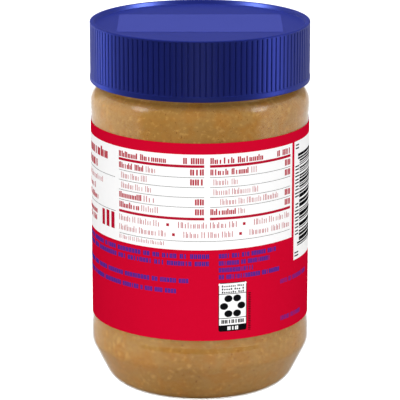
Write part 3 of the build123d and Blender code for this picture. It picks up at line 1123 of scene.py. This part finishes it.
def corner_cut(x):
    """How far a rounded corner of the patch pulls its top and bottom in at the distance x across."""
    over = max(0.0, abs(x - patch_centre) - (PATCH_RIGHT - PATCH_LEFT) / 2 + PATCH_CORNER)
    return PATCH_CORNER - math.sqrt(max(0.0, PATCH_CORNER**2 - over**2))


white.shape(
    PATCH_LEFT,
    PATCH_RIGHT,
    lambda x: PATCH_BOTTOM + corner_cut(x),
    lambda x: PATCH_TOP - corner_cut(x),
)
black.shape(PATCH_LEFT, PATCH_RIGHT, lambda x: PATCH_BOTTOM + corner_cut(x), PATCH_BOTTOM + FOOT_HEIGHT)
for side in (PATCH_LEFT, PATCH_RIGHT - FRAME_LINE):
    black.shape(side, side + FRAME_LINE, PATCH_BOTTOM + CORNER_CLEAR, PATCH_TOP - CORNER_CLEAR)
black.shape(PATCH_LEFT + 0.5, PATCH_RIGHT - 0.5, PATCH_TOP - FRAME_LINE, PATCH_TOP)
for level in (PATCH_TOP - 3.9, PATCH_BOTTOM + 4.6):
    black.shape(PATCH_LEFT, PATCH_RIGHT, level - FRAME_LINE / 2, level + FRAME_LINE / 2)
for row, words in enumerate(((8, 4), (5, 3, 1), (7, 3))):
    black.line(PATCH_LEFT + 1.0, PATCH_RIGHT - 0.9, PATCH_TOP - 1.5 - 1.05 * row, words, 0.5, 0.6, 0.4, 1)
black.line(PATCH_LEFT + 0.9, PATCH_RIGHT - 0.9, PATCH_BOTTOM + 2.75, (7,), 1.35, 0.72, 0)
for k in range(SIDE_LETTERS):
    level = PATCH_TOP - 4.3 - SIDE_PITCH * k
    black.mark(PATCH_RIGHT + 1.1, level, random.uniform(0.7, 1.0), SIDE_STROKE)
on_black = Artwork(2 * SECOND_INK)
on_black.line(patch_centre - 2.0, patch_centre + 2.0, PATCH_BOTTOM + 0.45, (3,), 1.3, 0.72, 0)
print("blue points:", len(blue.points), "black points:", len(black.points))

# %% [markdown]
# On the patch, six plain ovals stand in a ring. They are pebbles and no symbol.

# %% Ring of pebbles
PEBBLES = 6
RING_RADIUS, PEBBLE_WIDTH, PEBBLE_HEIGHT, RING_LEVEL = 3.05, 2.8, 2.4, 36.4


def oval(art, across, level, width, height):
    """A filled ellipse."""

    def reach(x):
        return height / 2 * math.sqrt(max(0.0, 1 - ((x - across) / (width / 2)) ** 2))

    art.shape(across - width / 2, across + width / 2, lambda x: level - reach(x), lambda x: level + reach(x))


for k in range(PEBBLES):
    turn = math.radians(360 / PEBBLES * k)
    spot = (patch_centre + RING_RADIUS * math.cos(turn), RING_LEVEL + RING_RADIUS * math.sin(turn))
    oval(black, *spot, PEBBLE_WIDTH, PEBBLE_HEIGHT)
print("pebbles:", PEBBLES)

# %% [markdown]
# The side away from the camera is the front of the pack. It is finished in the same inks with a
# plain design: a blue ribbon round the jar, a white oval left bare, and a pair of peanuts. The lap of
# the film's glued ends is drawn here too, as a strip from top to bottom.

# %% Front of the pack
FRONT = -math.pi * LABEL_RADIUS
OVAL_WIDTH, OVAL_HEIGHT, OVAL_LEVEL = 54.0, 30.0, 66.0
RIBBON_LOW, RIBBON_HIGH, RIBBON_TAPER = 45.0, 55.8, 4.0
RIBBON_LEFT, RIBBON_RIGHT = 79.5 + 2 * FRONT, -60.0
PEANUT_LENGTH, PEANUT_HEIGHT, WAIST, BULBS_APART = 18.0, 8.6, 0.62, 1.2
PEANUTS = ((-10.0, 38.0), (10.0, 35.5))
OVAL_BORDER = 4.0
LAP_LEFT, LAP_WIDTH, LAP_LIFT = 70.5, 7.0, 0.1


def peanut(art, centre_x, level, length, height):
    """A peanut in its shell, lying down: two bulbs and a waist."""

    def reach(x):
        t = (x - centre_x) / (length / 2)
        bulge = WAIST + (1 - WAIST) * math.sin(math.pi * t / BULBS_APART) ** 2
        return height / 2 * bulge * math.sqrt(max(0.0, 1 - t**4))

    left, right = centre_x - length / 2, centre_x + length / 2
    art.shape(left, right, lambda x: level - reach(x), lambda x: level + reach(x))


def ribbon_half(x):
    """Half the ribbon's height, which tapers to a point over its last stretch."""
    ends = min(RIBBON_RIGHT - x, x - RIBBON_LEFT)
    return (RIBBON_HIGH - RIBBON_LOW) / 2 * math.sqrt(min(1.0, max(0.0, ends) / RIBBON_TAPER))


ribbon_level = (RIBBON_LOW + RIBBON_HIGH) / 2
blue.shape(
    RIBBON_LEFT,
    RIBBON_RIGHT,
    lambda x: ribbon_level - ribbon_half(x),
    lambda x: ribbon_level + ribbon_half(x),
)
oval(blue, FRONT, OVAL_LEVEL, OVAL_WIDTH + OVAL_BORDER, OVAL_HEIGHT + OVAL_BORDER)
white_oval = Artwork(SECOND_INK)
oval(white_oval, FRONT, OVAL_LEVEL, OVAL_WIDTH, OVAL_HEIGHT)
for across, level in PEANUTS:
    peanut(tan_field, FRONT + across, level, PEANUT_LENGTH, PEANUT_HEIGHT)
lap = Artwork(LAP_LIFT)
lap.shape(LAP_LEFT, LAP_LEFT + LAP_WIDTH, label_low.z, label_high.z)
print("front of the pack: blue points", len(blue.points), "tan points", len(tan_field.points))

# %% [markdown]
# This tree first parts the points that carry a size from the slabs. It stands a block on each such
# point, joins both, and turns the distance across into an angle round the axis. Rolling turns a block
# inside out, so the blocks are flipped before it. The slabs are drawn the other way round already.

# %% Rolling the print round the jar
tree, given, result = new_tree(
    "roll_print",
    {"Radius": "NodeSocketFloat", "Merge": "NodeSocketFloat", "Ink": "NodeSocketMaterial"},
)
size = add(
    tree, "GeometryNodeInputNamedAttribute", {"Name": "mark_size"}, data_type="FLOAT_VECTOR"
).outputs[0]
length = add(tree, "ShaderNodeVectorMath", {0: size}, operation="LENGTH").outputs["Value"]
is_mark = add(tree, "FunctionNodeCompare", {"A": length, "B": 0.0}, operation="GREATER_THAN").outputs[0]
split = add(tree, "GeometryNodeSeparateGeometry", {0: given["Geometry"], 1: is_mark}).outputs
joined = {"Geometry": split[1], "Distance": given["Merge"]}
slabs = add(tree, "GeometryNodeMergeByDistance", joined).outputs[0]
block = add(tree, "GeometryNodeMeshCube", {"Size": (1, 1, 1)}).outputs["Mesh"]
blocks = {"Points": split[0], "Instance": block, "Scale": size}
stood = add(tree, "GeometryNodeInstanceOnPoints", blocks).outputs[0]
solid = add(tree, "GeometryNodeRealizeInstances", {0: stood}).outputs[0]
turned = add(tree, "GeometryNodeFlipFaces", {"Mesh": solid}).outputs[0]
sheet = add(tree, "GeometryNodeJoinGeometry")
tree.links.new(slabs, sheet.inputs[0])
tree.links.new(turned, sheet.inputs[0])
place = add(tree, "GeometryNodeInputPosition").outputs[0]
flat = add(tree, "ShaderNodeSeparateXYZ", {0: place}).outputs
angle = add(tree, "ShaderNodeMath", {0: flat["X"], 1: given["Radius"]}, operation="DIVIDE").outputs[0]
radius = add(tree, "ShaderNodeMath", {0: given["Radius"], 1: flat["Y"]}, operation="ADD").outputs[0]
sine = add(tree, "ShaderNodeMath", {0: angle}, operation="SINE").outputs[0]
cosine = add(tree, "ShaderNodeMath", {0: angle}, operation="COSINE").outputs[0]
to_right = add(tree, "ShaderNodeMath", {0: sine, 1: radius}, operation="MULTIPLY").outputs[0]
to_back = add(tree, "ShaderNodeMath", {0: cosine, 1: radius}, operation="MULTIPLY").outputs[0]
to_front = add(tree, "ShaderNodeMath", {0: to_back, 1: -1.0}, operation="MULTIPLY").outputs[0]
rolled = add(tree, "ShaderNodeCombineXYZ", {0: to_right, 1: to_front, 2: flat["Z"]}).outputs[0]
moved = add(tree, "GeometryNodeSetPosition", {"Geometry": sheet.outputs[0], "Position": rolled}).outputs[0]
whole = add(tree, "GeometryNodeRealizeInstances", {0: moved}).outputs[0]
inked = add(tree, "GeometryNodeSetMaterial", {"Geometry": whole, "Material": given["Ink"]}).outputs[0]
tree.links.new(inked, result.inputs[0])
roll_tree = tree
print("roll tree nodes:", len(tree.nodes))

# %% [markdown]
# Each ink's drawing becomes one piece. The size of a mark is stored on its point as an attribute,
# which is how the tree above gets to read it.

# %% Print pieces
MERGE = 0.002


def print_piece(name, art, ink):
    """Rolls one ink's artwork round the jar as a piece."""
    made = piece(name, art.points, art.faces, ink)
    attribute = made.data.attributes.new("mark_size", "FLOAT_VECTOR", "POINT")
    attribute.data.foreach_set("vector", np.array(art.sizes, np.float32).ravel())
    bake_tree(made, roll_tree, {"Radius": LABEL_RADIUS * MM, "Merge": MERGE * MM, "Ink": ink})
    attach(made, "root")
    print(name, "faces:", len(made.data.polygons))
    return made


prints = [
    print_piece("label_lap", lap, red_film),
    print_piece("label_white_fields", white, white_ink),
    print_piece("label_crimson_type", crimson, crimson_ink),
    print_piece("label_blue_print", blue, blue_ink),
    print_piece("label_black_print", black, black_ink),
    print_piece("label_patch_word", on_black, white_ink),
    print_piece("label_white_oval", white_oval, white_ink),
    print_piece("label_tan_peanuts", tan_field, tan_ink),
]

# %% [markdown]
# The lamps were made before the pieces, so the pieces join their groups of subjects now. The food is
# in two of them: the frontal fill lights it together with the print.

# %% Who is lit by what
for subjects, things in (
    (print_subjects, (film, food, *prints)),
    (cap_subjects, (screw_cap, frosted_field)),
    (wall_subjects, (jar_shell,)),
    (food_subjects, (food,)),
):
    for thing in things:
        subjects.objects.link(thing)
